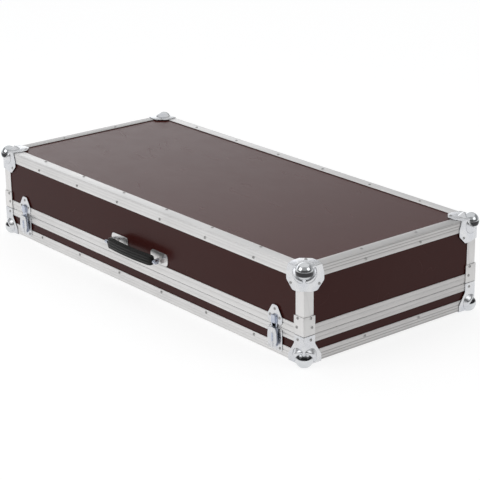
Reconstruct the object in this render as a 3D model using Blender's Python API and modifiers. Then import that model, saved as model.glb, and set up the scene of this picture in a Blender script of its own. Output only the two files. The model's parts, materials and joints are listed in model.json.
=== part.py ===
"""Keyboard case: a shallow base tray and a deep hinged lid of faced plywood, edged in aluminium.

Metres, +Z up, the front with the handle and the latches towards -Y. The case stands on the
flats under its four base corners. Inside this script a place is given in case coordinates:
X and Y from the middle of the case, Z from the underside of the base's edging. The empty
case_origin lifts that onto the flats and centres the whole object in Y.
"""

import math

import bmesh
import bpy
from mathutils import Matrix, Vector

# The case
CASE_LENGTH = 0.968
CASE_DEPTH = 0.428
CASE_HEIGHT = 0.180
PARTING_HEIGHT = 0.0535
PARTING_GAP = 0.0006
FIT_GAP = 0.0003
OVERRUN = 0.060
WELD_DISTANCE = 0.00001
ROUND_SEGMENTS = 16
ARC_STEP_DEGREES = 30

# Plywood and edging
PANEL_THICKNESS = 0.007
EDGING_WALL = 0.0015
EDGING_LEG = 0.0221
EDGING_ROUND = 0.0016
LID_RIM_LEG = 0.0183
BASE_RIM_LEG = 0.0148
RIM_INNER_LEG = 0.008
RIM_CHANNEL_FLOOR = 0.008
TONGUE_WIDTH = 0.002
TONGUE_HEIGHT = 0.005
TONGUE_INSET = 0.0045
GROOVE_CLEARANCE = 0.001
FOAM_WALL = 0.012
FOAM_FLOOR = 0.010

# Corner fittings
FITTING_WALL = 0.0012
BALL_RADIUS = 0.016
BALL_INSET = 0.0075
COLLAR_RADIUS = 0.0211
COLLAR_INSET = 0.0155
CORNER_STAND = 0.005
EAR_REACH = 0.0455
EAR_CHAMFER = 0.016
EAR_ROUND = 0.005
EAR_NOTCH = 0.005
FOOT_REACH = 0.040
FOOT_HEIGHT = 0.012
FOOT_CHAMFER = 0.014
LEG_WIDTH = 0.025
LEG_FLARE_HEIGHT = 0.036
BRACE_HEIGHT = 0.035
BRACE_RIVET_INSET = 0.015
BRACE_RIVET_DROP = 0.0045
BRACE_RIVET_RADIUS = 0.002
BALL_SEGMENTS = 20
BALL_RINGS = 12

# Latches
LATCH_FROM_END = 0.0765
LATCH_WIDTH = 0.039
LATCH_PLATE_WALL = 0.0012
LATCH_PLATE_BOTTOM = 0.008
LATCH_PLATE_TOP_GAP = 0.0035
LATCH_PLATE_ROUND = 0.004
LATCH_AXLE_HEIGHT = 0.033
LATCH_AXLE_RADIUS = 0.003
KEEPER_WIDTH = 0.039
KEEPER_HEIGHT = 0.035
KEEPER_SHOULDER = 0.015
KEEPER_NOSE_WIDTH = 0.014
KEEPER_ROUND = 0.006
HOOK_WIDTH = 0.014
HOOK_WALL = 0.0015
HOOK_BELOW_AXLE = 0.019
HOOK_TRAVEL = 0.008
HOOK_BLOCK_WIDTH = 0.010
HOOK_BLOCK_HEIGHT = 0.015
HOOK_BLOCK_DEPTH = 0.003
HOOK_TOP = 0.074
ROTOR_WIDTH = 0.012
ROTOR_HEIGHT = 0.038
ROTOR_WALL = 0.0015
ROTOR_ROUND = 0.004
WING_PIN_RADIUS = 0.0011
KNUCKLE_RADIUS = 0.0022
KNUCKLE_SINK = 0.0003
CENTRE_KNUCKLE_LENGTH = 0.016
NECK_WIDTH = 0.0036
NECK_LENGTH = 0.014
WING_WIDTH = 0.010
WING_HEIGHT = 0.036
WING_WALL = 0.0012
WING_STRAIGHT_SHARE = 0.35
WING_ARC_STEPS = 8

# Hinges
HINGE_FROM_END = 0.190
HINGE_WIDTH = 0.060
HINGE_LEAF_HEIGHT = 0.036
HINGE_LEAF_WALL = 0.002
HINGE_LEAF_ROUND = 0.004
HINGE_STANDOFF = 0.006
HINGE_KNUCKLE_RADIUS = 0.0045
HINGE_PIN_RADIUS = 0.002
HINGE_CENTRE_SHARE = 0.34

# Handle
GRIP_LENGTH = 0.143
GRIP_DEPTH = 0.015
GRIP_HEIGHT = 0.021
GRIP_BOW = 0.004
GRIP_ROUND = 0.006
GRIP_POINTS = 8
HANDLE_PIVOT_HEIGHT = 0.085
HANDLE_STANDOFF = 0.0115
HANDLE_ARM = 0.0085
CORE_RADIUS = 0.0025
CORE_EYE_RADIUS = 0.004
CORE_EYE_WIDTH = 0.008
CORE_ROUND_SHARE = 0.9
HANDLE_PIN_RADIUS = 0.002
BRACKET_LENGTH = 0.054
BRACKET_HEIGHT = 0.025
BRACKET_WALL = 0.0015
BRACKET_ROUND = 0.008
BRACKET_OUTER_MARGIN = 0.0135
LUG_WALL = 0.002
LUG_HEIGHT = 0.008

# Worked out from the sizes above
HALF_LENGTH = CASE_LENGTH / 2
HALF_DEPTH = CASE_DEPTH / 2
PANEL_FACE = EDGING_WALL + FIT_GAP
PANEL_BACK = PANEL_FACE + PANEL_THICKNESS
INNER_FACE = PANEL_BACK + FIT_GAP
RIM_DEPTH = INNER_FACE + EDGING_WALL
BASE_TOP = PARTING_HEIGHT - PARTING_GAP / 2
LID_BOTTOM = PARTING_HEIGHT + PARTING_GAP / 2
PLATE_FACE = FIT_GAP + LATCH_PLATE_WALL
HOOK_FACE = PLATE_FACE + FIT_GAP + HOOK_WALL
ROTOR_BACK = HOOK_FACE + FIT_GAP
ROTOR_FACE = ROTOR_BACK + ROTOR_WALL
WING_AXIS = ROTOR_FACE + FIT_GAP + KNUCKLE_RADIUS
PIVOT_X = GRIP_LENGTH / 2 + FIT_GAP + LUG_WALL + FIT_GAP + CORE_EYE_WIDTH / 2
FRONT_REACH = HANDLE_STANDOFF + HANDLE_ARM + GRIP_DEPTH / 2 + GRIP_BOW
BACK_REACH = HINGE_STANDOFF + HINGE_KNUCKLE_RADIUS

# The four sides: name, outward direction, half size along it, turn about Z
SIDES = (
    ("front", Vector((0, -1, 0)), HALF_DEPTH, HALF_LENGTH, 0),
    ("right", Vector((1, 0, 0)), HALF_LENGTH, HALF_DEPTH, 90),
    ("back", Vector((0, 1, 0)), HALF_DEPTH, HALF_LENGTH, 180),
    ("left", Vector((-1, 0, 0)), HALF_LENGTH, HALF_DEPTH, 270),
)
CORNERS = (
    ("front_right", 1, -1, 0),
    ("back_right", 1, 1, 90),
    ("back_left", -1, 1, 180),
    ("front_left", -1, -1, 270),
)

# Colour, roughness and metallic value of each material
FINISHES = {
    "faced_plywood": ((0.060, 0.032, 0.031), 0.42, 0.0),
    "aluminium": ((0.80, 0.79, 0.78), 0.34, 1.0),
    "zinc_plate": ((0.78, 0.79, 0.80), 0.20, 1.0),
    "steel_pin": ((0.62, 0.63, 0.66), 0.30, 1.0),
    "grip_plastic": ((0.020, 0.020, 0.019), 0.45, 0.0),
    "foam": ((0.035, 0.035, 0.038), 0.95, 0.0),
}


# Scene, collections, materials

for leftover in list(bpy.data.objects):
    bpy.data.objects.remove(leftover, do_unlink=True)

parts = bpy.data.collections.new("keyboard_case")
helpers = bpy.data.collections.new("case_cutters")
bpy.context.scene.collection.children.link(parts)
bpy.context.scene.collection.children.link(helpers)
helpers.hide_render = True


def make_material(name, colour, roughness, metallic):
    material = bpy.data.materials.new(name)
    material.use_nodes = True
    shader = material.node_tree.nodes["Principled BSDF"]
    shader.inputs["Base Color"].default_value = (*colour, 1)
    shader.inputs["Roughness"].default_value = roughness
    shader.inputs["Metallic"].default_value = metallic
    return material


materials = {name: make_material(name, *finish) for name, finish in FINISHES.items()}


# Pivots: each empty stands at its place in case coordinates

pivot_places = {}


def add_pivot(name, place, parent=None):
    pivot = bpy.data.objects.new(name, None)
    parts.objects.link(pivot)
    pivot_places[name] = Vector(place)
    if parent:
        pivot.parent = parent
        pivot.location = Vector(place) - pivot_places[parent.name]
    return pivot


origin = add_pivot("case_origin", (0, 0, 0))
origin.location = (0, (FRONT_REACH - BACK_REACH) / 2, CORNER_STAND)
hinge_place = Vector((0, HALF_DEPTH + HINGE_STANDOFF, PARTING_HEIGHT))
handle_place = Vector((0, -HALF_DEPTH - HANDLE_STANDOFF, HANDLE_PIVOT_HEIGHT))
lid_pivot = add_pivot("lid_pivot", hinge_place, origin)
handle_pivot = add_pivot("handle_pivot", handle_place, lid_pivot)


# Helper shapes: each returns a helper object, in the piece's own coordinates

def helper_object(name, data):
    helper = bpy.data.objects.new(name, data)
    helper.hide_render = True
    helper.display_type = "WIRE"
    helpers.objects.link(helper)
    return helper


def helper_from(bm, name):
    mesh = bpy.data.meshes.new(name)
    bm.to_mesh(mesh)
    bm.free()
    return helper_object(name, mesh)


def block(size, centre):
    """A box of the given size about its centre."""
    bm = bmesh.new()
    shape = Matrix.Translation(centre) @ Matrix.Diagonal((*size, 1))
    bmesh.ops.create_cube(bm, size=1, matrix=shape)
    return helper_from(bm, "block")


def rod(radius, length, centre, axis):
    """A solid cylinder along one axis, named by its letter."""
    turn = {"X": Matrix.Rotation(math.radians(90), 4, "Y"),
            "Y": Matrix.Rotation(math.radians(90), 4, "X"),
            "Z": Matrix.Identity(4)}[axis]
    bm = bmesh.new()
    bmesh.ops.create_cone(bm, cap_ends=True, segments=ROUND_SEGMENTS, radius1=radius, radius2=radius,
                          depth=length, matrix=Matrix.Translation(centre) @ turn)
    return helper_from(bm, "rod")


def ball(radius, centre):
    bm = bmesh.new()
    bmesh.ops.create_uvsphere(bm, u_segments=BALL_SEGMENTS, v_segments=BALL_RINGS, radius=radius,
                              matrix=Matrix.Translation(centre))
    return helper_from(bm, "ball")


def baked_mesh(helper):
    """The evaluated mesh of a helper, with its doubles merged."""
    graph = bpy.context.evaluated_depsgraph_get()
    mesh = bpy.data.meshes.new_from_object(helper.evaluated_get(graph))
    mesh.transform(helper.matrix_world)
    bm = bmesh.new()
    bm.from_mesh(mesh)
    bmesh.ops.remove_doubles(bm, verts=bm.verts, dist=WELD_DISTANCE)
    bmesh.ops.recalc_face_normals(bm, faces=bm.faces)
    bm.to_mesh(mesh)
    bm.free()
    return mesh


def slab(points, thickness, centre=(0, 0, 0), turn=(0, 0, 0)):
    """A flat outline in local X and Y, thickened about its plane, then turned and moved."""
    curve = bpy.data.curves.new("outline", "CURVE")
    curve.dimensions = "2D"
    curve.fill_mode = "BOTH"
    curve.extrude = thickness / 2
    spline = curve.splines.new("POLY")
    spline.points.add(len(points) - 1)
    for point, (x, y) in zip(spline.points, points):
        point.co = (x, y, 0, 1)
    spline.use_cyclic_u = True
    flat = helper_object("outline", curve)
    flat.location = centre
    flat.rotation_euler = [math.radians(angle) for angle in turn]
    bpy.context.view_layer.update()
    solid = helper_object("slab", baked_mesh(flat))
    bpy.data.objects.remove(flat)
    return solid


def combine(first, others, operation):
    """Joins the others to the first helper, or cuts them from it, and removes them."""
    for other in others:
        step = first.modifiers.new(operation, "BOOLEAN")
        step.operation = operation
        step.solver = "EXACT"
        step.object = other
    bpy.context.view_layer.update()
    result = helper_object("result", baked_mesh(first))
    for used in [first, *others]:
        bpy.data.objects.remove(used)
    return result


def joined(first, *others):
    return combine(first, others, "UNION")


def cut(first, *others):
    return combine(first, others, "DIFFERENCE")


def rounded(points, radii):
    """The outline with each corner turned into an arc of its own radius."""
    result = []
    for index, (corner, radius) in enumerate(zip(points, radii)):
        here = Vector(corner)
        if not radius:
            result.append(tuple(here))
            continue
        back = (Vector(points[index - 1]) - here).normalized()
        ahead = (Vector(points[(index + 1) % len(points)]) - here).normalized()
        half = back.angle(ahead) / 2
        reach = radius / math.tan(half)
        centre = here + (back + ahead).normalized() * radius / math.sin(half)
        start = here + back * reach - centre
        sweep = start.angle_signed(here + ahead * reach - centre)
        steps = max(2, round(abs(sweep) / math.radians(ARC_STEP_DEGREES)))
        for step in range(steps + 1):
            turn = Matrix.Rotation(-sweep * step / steps, 2)
            result.append(tuple(centre + turn @ start))
    return result


def smooth(mesh):
    mesh.shade_smooth()
    mesh.set_sharp_from_angle(angle=math.radians(35))


def piece(name, source, material, parent, place=(0, 0, 0), turn=0):
    """Makes the named sub-part from a mesh or a helper, at its place in case coordinates."""
    mesh = source
    if isinstance(source, bpy.types.Object):
        mesh = baked_mesh(source)
        bpy.data.objects.remove(source)
    mesh.name = name
    if not mesh.materials:
        mesh.materials.append(materials[material])
    smooth(mesh)
    obj = bpy.data.objects.new(name, mesh)
    parts.objects.link(obj)
    obj.parent = parent
    obj.location = Vector(place) - pivot_places[parent.name]
    obj.rotation_euler = (0, 0, math.radians(turn))
    return obj


# Edging: every profile is drawn as (distance outwards, height) and runs along the side

def angle_outline(leg, wall, outer_round, upwards):
    """An angle whose outer faces are at zero; the legs run inwards and up or down."""
    way = 1 if upwards else -1
    points = [(-leg, 0), (0, 0), (0, way * leg), (-wall, way * leg), (-wall, way * wall),
              (-leg, way * wall)]
    return rounded(points, [0, outer_round, 0, 0, 0, 0])


def bar(outline, length):
    """A profile run along X, its outward side towards -Y, centred on the side's middle."""
    return slab(outline, length, turn=(90, 0, -90))


def side_length(corner_depth, half_side, full):
    """Front and back runs go to the corners, end runs fit between them."""
    return 2 * half_side if full else 2 * (half_side - corner_depth - FIT_GAP)


def make_edging(section, parent, height, upwards):
    outline = angle_outline(EDGING_LEG, EDGING_WALL, EDGING_ROUND, upwards)
    for side, outward, half, half_side, turn in SIDES:
        length = side_length(EDGING_LEG, half_side, side in ("front", "back"))
        place = outward * half + Vector((0, 0, height))
        piece(f"{section}_edge_{side}", bar(outline, length), "aluminium", parent, place, turn)


def base_rim_outline():
    """Outer leg, flat top with the tongue standing on it, and a short inner leg."""
    tongue_outer = -TONGUE_INSET
    tongue_inner = tongue_outer - TONGUE_WIDTH
    return [(0, -BASE_RIM_LEG), (0, 0), (tongue_outer, 0), (tongue_outer, TONGUE_HEIGHT),
            (tongue_inner, TONGUE_HEIGHT), (tongue_inner, 0), (-RIM_DEPTH, 0),
            (-RIM_DEPTH, -RIM_INNER_LEG), (-INNER_FACE, -RIM_INNER_LEG), (-INNER_FACE, -EDGING_WALL),
            (-EDGING_WALL, -EDGING_WALL), (-EDGING_WALL, -BASE_RIM_LEG)]


def lid_rim_outline():
    """Outer leg, a block with the groove for the tongue, and a short inner leg."""
    groove_outer = -TONGUE_INSET + GROOVE_CLEARANCE
    groove_inner = -TONGUE_INSET - TONGUE_WIDTH - GROOVE_CLEARANCE
    groove_top = TONGUE_HEIGHT + GROOVE_CLEARANCE
    inner_top = RIM_CHANNEL_FLOOR + RIM_INNER_LEG
    return [(0, 0), (0, LID_RIM_LEG), (-EDGING_WALL, LID_RIM_LEG), (-EDGING_WALL, RIM_CHANNEL_FLOOR),
            (-INNER_FACE, RIM_CHANNEL_FLOOR), (-INNER_FACE, inner_top), (-RIM_DEPTH, inner_top),
            (-RIM_DEPTH, 0), (groove_inner, 0), (groove_inner, groove_top),
            (groove_outer, groove_top), (groove_outer, 0)]


def make_rims(section, parent, height, outline):
    for side, outward, half, half_side, turn in SIDES:
        length = side_length(RIM_DEPTH, half_side, side in ("front", "back"))
        place = outward * half + Vector((0, 0, height))
        piece(f"{section}_rim_{side}", bar(outline, length), "aluminium", parent, place, turn)


# Plywood

def make_walls(section, parent, low, high):
    height = high - low
    for side, outward, half, half_side, turn in SIDES:
        ends = PANEL_FACE if side in ("front", "back") else RIM_DEPTH + FIT_GAP
        size = (2 * (half_side - ends), PANEL_THICKNESS, height)
        place = outward * (half - PANEL_FACE - PANEL_THICKNESS / 2)
        place += Vector((0, 0, low + height / 2))
        piece(f"{section}_{side}_panel", block(size, (0, 0, 0)), "faced_plywood", parent, place, turn)


def make_flat_panel(name, parent, low):
    size = (CASE_LENGTH - 2 * PANEL_FACE, CASE_DEPTH - 2 * PANEL_FACE, PANEL_THICKNESS)
    place = (0, 0, low + PANEL_THICKNESS / 2)
    piece(name, block(size, (0, 0, 0)), "faced_plywood", parent, place)


def make_foam(name, parent, low, high, opens_up):
    """A tray of foam: walls on four sides and a bed on the panel that it lies on."""
    outer_x = HALF_LENGTH - INNER_FACE
    outer_y = HALF_DEPTH - INNER_FACE
    height = high - low
    solid = block((2 * outer_x, 2 * outer_y, height), (0, 0, 0))
    way = 1 if opens_up else -1
    hollow_size = (2 * (outer_x - FOAM_WALL), 2 * (outer_y - FOAM_WALL), height)
    hollow = block(hollow_size, (0, 0, way * FOAM_FLOOR))
    place = (0, 0, low + height / 2)
    piece(name, cut(solid, hollow), "foam", parent, place)


# Corner fittings, drawn for the front right corner with the case's corner at zero:
# the case lies towards -X, +Y and, for a base corner, +Z

def ear_outline(overhang):
    """An ear over one face of a lid corner: its far corner is taken off and its ends draw back."""
    end = EAR_NOTCH - EAR_REACH
    points = [(overhang, overhang), (end, overhang), (-EAR_REACH, -EAR_CHAMFER),
              (-EAR_REACH, EAR_CHAMFER - EAR_REACH), (EAR_CHAMFER - EAR_REACH, -EAR_REACH),
              (-EAR_CHAMFER, -EAR_REACH), (overhang, end)]
    return rounded(points, [0, 0, EAR_ROUND, EAR_ROUND, EAR_ROUND, EAR_ROUND, 0])


def foot_outline(overhang):
    """The base corner's plate under the case, with its far corner taken off."""
    points = [(overhang, overhang), (-FOOT_REACH, overhang), (-FOOT_REACH, FOOT_CHAMFER - FOOT_REACH),
              (FOOT_CHAMFER - FOOT_REACH, -FOOT_REACH), (overhang, -FOOT_REACH)]
    return rounded(points, [0, 0, EAR_ROUND, EAR_ROUND, 0])


def leg_outline(overhang):
    """The base corner's plate on a side face: a foot that narrows to a leg up to the parting."""
    top = BASE_TOP - FIT_GAP
    points = [(overhang, -overhang), (-FOOT_REACH, -overhang), (-FOOT_REACH, FOOT_HEIGHT),
              (-LEG_WIDTH, LEG_FLARE_HEIGHT), (-LEG_WIDTH, top), (overhang, top)]
    return rounded(points, [0, 0, EAR_ROUND, EAR_ROUND, 0, 0])


def corner_solid(side_points, flat_points, up):
    """Three plates, a ball and its collar, hollowed where the case's corner sits."""
    middle = FIT_GAP + FITTING_WALL / 2
    mirrored = [(-x, y) for x, y in side_points]
    front = slab(side_points, FITTING_WALL, centre=(0, -middle, 0), turn=(90, 0, 0))
    right = slab(mirrored, FITTING_WALL, centre=(middle, 0, 0), turn=(90, 0, 90))
    flat = slab(flat_points, FITTING_WALL, centre=(0, 0, up * middle))
    in_ball = Vector((-BALL_INSET, BALL_INSET, -up * BALL_INSET))
    in_collar = Vector((-COLLAR_INSET, COLLAR_INSET, -up * COLLAR_INSET))
    solid = joined(front, right, flat, ball(BALL_RADIUS, in_ball), ball(COLLAR_RADIUS, in_collar))
    inward = OVERRUN - FIT_GAP
    case_corner = block([OVERRUN * 2] * 3, (-inward, inward, -up * inward))
    return cut(solid, case_corner)


def make_lid_corners(parent):
    overhang = FIT_GAP + FITTING_WALL / 2
    points = ear_outline(overhang)
    flat_points = [(x, -y) for x, y in points]
    mesh = baked_mesh(corner_solid(points, flat_points, 1))
    for corner, x_way, y_way, turn in CORNERS:
        place = (x_way * HALF_LENGTH, y_way * HALF_DEPTH, CASE_HEIGHT)
        piece(f"lid_corner_{corner}", mesh, "zinc_plate", parent, place, turn)


def make_base_corners(parent):
    overhang = FIT_GAP + FITTING_WALL / 2
    flat_points = [(x, -y) for x, y in foot_outline(overhang)]
    solid = corner_solid(leg_outline(overhang), flat_points, -1)
    below = block([OVERRUN * 2] * 3, (0, 0, -CORNER_STAND - OVERRUN))
    mesh = baked_mesh(cut(solid, below))
    for corner, x_way, y_way, turn in CORNERS:
        place = (x_way * HALF_LENGTH, y_way * HALF_DEPTH, 0)
        piece(f"base_corner_{corner}", mesh, "zinc_plate", parent, place, turn)


def make_posts(parent):
    """The lid's upright angles, each with the brace plates riveted over its foot."""
    foot = LID_BOTTOM + LID_RIM_LEG + FIT_GAP
    top = CASE_HEIGHT - EDGING_LEG - FIT_GAP
    brace_low = LID_BOTTOM + FIT_GAP
    brace_middle = brace_low + BRACE_HEIGHT / 2
    post_points = rounded([(-EDGING_LEG, 0), (0, 0), (0, EDGING_LEG), (-EDGING_WALL, EDGING_LEG),
                           (-EDGING_WALL, EDGING_WALL), (-EDGING_LEG, EDGING_WALL)],
                          [0, EDGING_ROUND, 0, 0, 0, 0])
    post = slab(post_points, top - foot, centre=(0, 0, (top + foot) / 2))
    over = FIT_GAP + FITTING_WALL / 2
    width = LEG_WIDTH + over
    middle = FIT_GAP + FITTING_WALL / 2
    along = over - width / 2
    front = block((width, FITTING_WALL, BRACE_HEIGHT), (along, -middle, brace_middle))
    right = block((FITTING_WALL, width, BRACE_HEIGHT), (middle, -along, brace_middle))
    rivet_height = brace_low + BRACE_HEIGHT - BRACE_RIVET_DROP
    rivet_length = EDGING_WALL / 2 + over
    rivet_middle = (over - EDGING_WALL / 2) / 2
    rivets = (rod(BRACE_RIVET_RADIUS, rivet_length, (-BRACE_RIVET_INSET, -rivet_middle, rivet_height), "Y"),
              rod(BRACE_RIVET_RADIUS, rivet_length, (rivet_middle, BRACE_RIVET_INSET, rivet_height), "X"))
    mesh = baked_mesh(joined(post, front, right, *rivets))
    for corner, x_way, y_way, turn in CORNERS:
        place = (x_way * HALF_LENGTH, y_way * HALF_DEPTH, 0)
        piece(f"lid_post_{corner}", mesh, "aluminium", parent, place, turn)


# Latches, drawn with X across, Y negative outwards from the case's face, Z as in the case

def plate_points(half_width, low, high, radius):
    points = [(-half_width, low), (half_width, low), (half_width, high), (-half_width, high)]
    return rounded(points, [radius] * 4)


def upright_slab(points, inner, outer):
    """An outline in X and Z, its inner and outer faces given as distances from the case's face."""
    return slab(points, outer - inner, centre=(0, -(inner + outer) / 2, 0), turn=(90, 0, 0))


def latch_plate():
    top = BASE_TOP - LATCH_PLATE_TOP_GAP
    points = plate_points(LATCH_WIDTH / 2, LATCH_PLATE_BOTTOM, top, LATCH_PLATE_ROUND)
    plate = upright_slab(points, FIT_GAP, PLATE_FACE)
    axle_end = ROTOR_FACE - KNUCKLE_SINK - FIT_GAP
    axle_middle = -(FIT_GAP + axle_end) / 2
    axle = rod(LATCH_AXLE_RADIUS, axle_end - FIT_GAP, (0, axle_middle, LATCH_AXLE_HEIGHT), "Y")
    return joined(plate, axle)


def latch_keeper():
    low = LID_BOTTOM + LATCH_PLATE_TOP_GAP
    top = low + KEEPER_HEIGHT
    half = KEEPER_WIDTH / 2
    nose = KEEPER_NOSE_WIDTH / 2
    points = [(-half, low), (half, low), (half, low + KEEPER_SHOULDER), (nose, top), (-nose, top),
              (-half, low + KEEPER_SHOULDER)]
    return upright_slab(rounded(points, [KEEPER_ROUND] * 6), FIT_GAP, PLATE_FACE)


def latch_hook():
    """A strap that slides over the plate and the keeper, slotted round the axle."""
    half = HOOK_WIDTH / 2
    low = LATCH_AXLE_HEIGHT - HOOK_BELOW_AXLE
    strap = upright_slab(plate_points(half, low, HOOK_TOP, half / 2), PLATE_FACE + FIT_GAP, HOOK_FACE)
    slot_half = LATCH_AXLE_RADIUS + FIT_GAP
    slot_low = LATCH_AXLE_HEIGHT - HOOK_TRAVEL - slot_half
    slot_high = LATCH_AXLE_HEIGHT + slot_half
    slot = upright_slab(plate_points(slot_half, slot_low, slot_high, slot_half / 2), 0, ROTOR_FACE)
    head_middle = -(HOOK_FACE + HOOK_BLOCK_DEPTH / 2 - FIT_GAP)
    head = block((HOOK_BLOCK_WIDTH, HOOK_BLOCK_DEPTH + FIT_GAP, HOOK_BLOCK_HEIGHT),
                 (0, head_middle, HOOK_TOP - HOOK_BLOCK_HEIGHT / 2))
    return joined(cut(strap, slot), head)


def latch_rotor():
    """A hub plate that turns on the axle and carries the wings' upright pin."""
    low = LATCH_AXLE_HEIGHT - ROTOR_HEIGHT / 2
    high = LATCH_AXLE_HEIGHT + ROTOR_HEIGHT / 2
    hub = upright_slab(plate_points(ROTOR_WIDTH / 2, low, high, ROTOR_ROUND), ROTOR_BACK, ROTOR_FACE)
    bore_length = 2 * ROTOR_FACE
    bore = rod(LATCH_AXLE_RADIUS + FIT_GAP, bore_length, (0, -ROTOR_FACE, LATCH_AXLE_HEIGHT), "Y")
    axis = (0, -WING_AXIS, LATCH_AXLE_HEIGHT)
    knuckle = rod(KNUCKLE_RADIUS, CENTRE_KNUCKLE_LENGTH, axis, "Z")
    neck_depth = WING_AXIS - ROTOR_FACE + KNUCKLE_SINK
    neck = block((NECK_WIDTH, neck_depth, NECK_LENGTH),
                 (0, -(WING_AXIS - neck_depth / 2), LATCH_AXLE_HEIGHT))
    pin = rod(WING_PIN_RADIUS, ROTOR_HEIGHT, axis, "Z")
    return joined(cut(hub, bore), neck, knuckle, pin)


def latch_wing(way):
    """A half-round wing hinged on the pin; way is +1 for the right wing, -1 for the left."""
    gap = KNUCKLE_RADIUS + FIT_GAP
    straight = WING_WIDTH * WING_STRAIGHT_SHARE
    half_height = WING_HEIGHT / 2
    points = [(0, -half_height), (gap + straight, -half_height)]
    for step in range(1, WING_ARC_STEPS):
        angle = math.pi * (step / WING_ARC_STEPS - 1 / 2)
        points.append((gap + straight + (WING_WIDTH - straight) * math.cos(angle),
                       half_height * math.sin(angle)))
    points += [(gap + straight, half_height), (0, half_height)]
    points = [(way * x, z + LATCH_AXLE_HEIGHT) for x, z in points]
    plate = upright_slab(points, WING_AXIS - WING_WALL / 2, WING_AXIS + WING_WALL / 2)
    free = CENTRE_KNUCKLE_LENGTH / 2 + FIT_GAP
    length = ROTOR_HEIGHT / 2 - free
    height = LATCH_AXLE_HEIGHT + way * (free + length / 2)
    axis = (0, -WING_AXIS, height)
    hinged = joined(plate, rod(KNUCKLE_RADIUS, length, axis, "Z"))
    room = [rod(gap, OVERRUN, (0, -WING_AXIS, height + step * (length + OVERRUN) / 2), "Z")
            for step in (-1, 1)]
    return cut(hinged, rod(WING_PIN_RADIUS + FIT_GAP, 2 * ROTOR_HEIGHT, axis, "Z"), *room)


def make_latches():
    for side, way in (("left", -1), ("right", 1)):
        x = way * (HALF_LENGTH - LATCH_FROM_END)
        face = Vector((x, -HALF_DEPTH, 0))
        axle = face + Vector((0, 0, LATCH_AXLE_HEIGHT))
        rotor = add_pivot(f"latch_turn_{side}", axle, origin)
        slide = add_pivot(f"latch_slide_{side}", face, origin)
        folds = add_pivot(f"latch_folds_{side}", axle - Vector((0, WING_AXIS, 0)), rotor)
        piece(f"latch_plate_{side}", latch_plate(), "zinc_plate", origin, face)
        piece(f"latch_keeper_{side}", latch_keeper(), "zinc_plate", lid_pivot, face)
        piece(f"latch_hook_{side}", latch_hook(), "zinc_plate", slide, face)
        piece(f"latch_rotor_{side}", latch_rotor(), "steel_pin", rotor, face)
        piece(f"latch_{side}_wing_left", latch_wing(-1), "zinc_plate", folds, face)
        piece(f"latch_{side}_wing_right", latch_wing(1), "zinc_plate", folds, face)


# Hinges, drawn for the back face with the hinge axis at zero and the case towards -Y

def hinge_leaf(up, is_centre):
    leaf_low = 0 if up > 0 else -HINGE_LEAF_HEIGHT
    points = plate_points(HINGE_WIDTH / 2, leaf_low, leaf_low + HINGE_LEAF_HEIGHT, HINGE_LEAF_ROUND)
    leaf_middle = FIT_GAP + HINGE_LEAF_WALL / 2 - HINGE_STANDOFF
    leaf = slab(points, HINGE_LEAF_WALL, centre=(0, leaf_middle, 0), turn=(90, 0, 0))
    centre_half = HINGE_WIDTH * HINGE_CENTRE_SHARE / 2
    outer_length = HINGE_WIDTH / 2 - centre_half - FIT_GAP
    outer_middle = centre_half + FIT_GAP + outer_length / 2
    room = HINGE_KNUCKLE_RADIUS + FIT_GAP
    if is_centre:
        leaf = joined(leaf, rod(HINGE_KNUCKLE_RADIUS, 2 * centre_half, (0, 0, 0), "X"))
        cuts = [rod(room, outer_length + 2 * FIT_GAP, (way * (outer_middle + FIT_GAP), 0, 0), "X")
                for way in (-1, 1)]
        return cut(leaf, rod(HINGE_PIN_RADIUS + FIT_GAP, HINGE_WIDTH, (0, 0, 0), "X"), *cuts)
    leaf = cut(leaf, rod(room, 2 * (centre_half + FIT_GAP), (0, 0, 0), "X"))
    ends = [rod(HINGE_KNUCKLE_RADIUS, outer_length, (way * outer_middle, 0, 0), "X") for way in (-1, 1)]
    return joined(leaf, *ends, rod(HINGE_PIN_RADIUS, HINGE_WIDTH - 2 * FIT_GAP, (0, 0, 0), "X"))


def make_hinges():
    for side, way in (("left", -1), ("right", 1)):
        place = hinge_place + Vector((way * (HALF_LENGTH - HINGE_FROM_END), 0, 0))
        piece(f"hinge_base_leaf_{side}", hinge_leaf(-1, False), "zinc_plate", origin, place)
        piece(f"hinge_lid_leaf_{side}", hinge_leaf(1, True), "zinc_plate", lid_pivot, place)


# Handle, drawn with its pivot axis at zero and the grip standing out towards -Y

def handle_core():
    """A steel bar through the grip, with an arm and an eye at each end."""
    bar_length = 2 * PIVOT_X
    arm_end = -HANDLE_ARM - CORE_EYE_RADIUS
    arm_points = [(arm_end, -CORE_EYE_RADIUS), (CORE_EYE_RADIUS, -CORE_EYE_RADIUS),
                  (CORE_EYE_RADIUS, CORE_EYE_RADIUS), (arm_end, CORE_EYE_RADIUS)]
    arm_points = rounded(arm_points, [CORE_EYE_RADIUS * CORE_ROUND_SHARE] * 4)
    arms = [slab(arm_points, CORE_EYE_WIDTH, centre=(way * PIVOT_X, 0, 0), turn=(90, 0, 90))
            for way in (-1, 1)]
    whole = joined(rod(CORE_RADIUS, bar_length, (0, -HANDLE_ARM, 0), "X"), *arms)
    return cut(whole, rod(HANDLE_PIN_RADIUS + FIT_GAP, 2 * bar_length, (0, 0, 0), "X"))


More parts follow.
